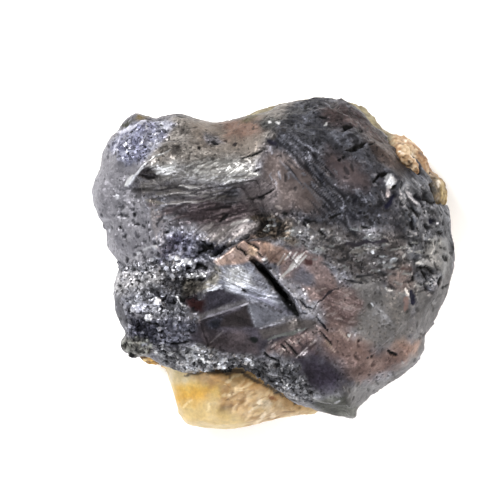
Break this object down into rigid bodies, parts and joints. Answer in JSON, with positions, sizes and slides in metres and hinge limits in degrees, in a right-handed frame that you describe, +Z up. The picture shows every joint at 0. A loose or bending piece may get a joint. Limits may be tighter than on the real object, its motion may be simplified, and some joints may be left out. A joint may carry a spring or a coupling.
{
  "type": "galena mineral specimen",
  "caption": "Hand specimen of cleaved lead-grey galena with stepped faces and an open gash, on a back of cream to golden calcite.",
  "frame": {"origin": "middle of the bounding box, on the plane that the specimen's calcite back rests on", "axes": "+Z up out of the broken galena face, +X along the longest side to the right, +Y to the upper edge of the face, away from the calcite lobe"},
  "size_m": [0.0732, 0.0672, 0.035],
  "materials": {
    "galena": "tarnished metallic lustre on broken cleavage faces",
    "calcite": "broken, waxy, cream to golden"
  },
  "bodies": {
    "root": {"galena": "galena", "calcite_matrix": "calcite"}
  },
  "joints": []
}
